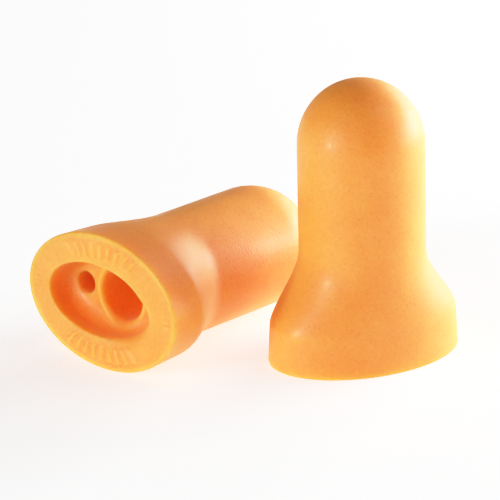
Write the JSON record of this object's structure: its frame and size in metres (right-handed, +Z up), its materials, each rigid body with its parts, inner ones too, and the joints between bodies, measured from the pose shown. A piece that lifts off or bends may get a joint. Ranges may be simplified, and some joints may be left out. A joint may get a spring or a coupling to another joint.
{
  "type": "ear plugs",
  "caption": "Two loose flared foam ear plugs with domed tips and recessed oval bases, one standing and one lying on its side.",
  "frame": {"origin": "middle of the underside of the pair's bounding box, on the surface that both plugs rest on", "axes": "+Z up along the standing plug, +X along the row from the lying plug to the standing plug, +Y towards the far side, where the lying plug's tip points"},
  "size_m": [0.0362, 0.025, 0.024],
  "materials": {
    "foam": "matte moulded polyurethane foam with a thin smooth skin, fine grain"
  },
  "bodies": {
    "standing_plug": {"standing_plug": "foam"},
    "lying_plug": {"lying_plug": "foam"}
  },
  "joints": [
    {"name": "lying_plug_lift", "type": "slide", "parent": "standing_plug", "child": "lying_plug", "axis": [0, 0, 1], "range_m": [0, 0.03]}
  ]
}
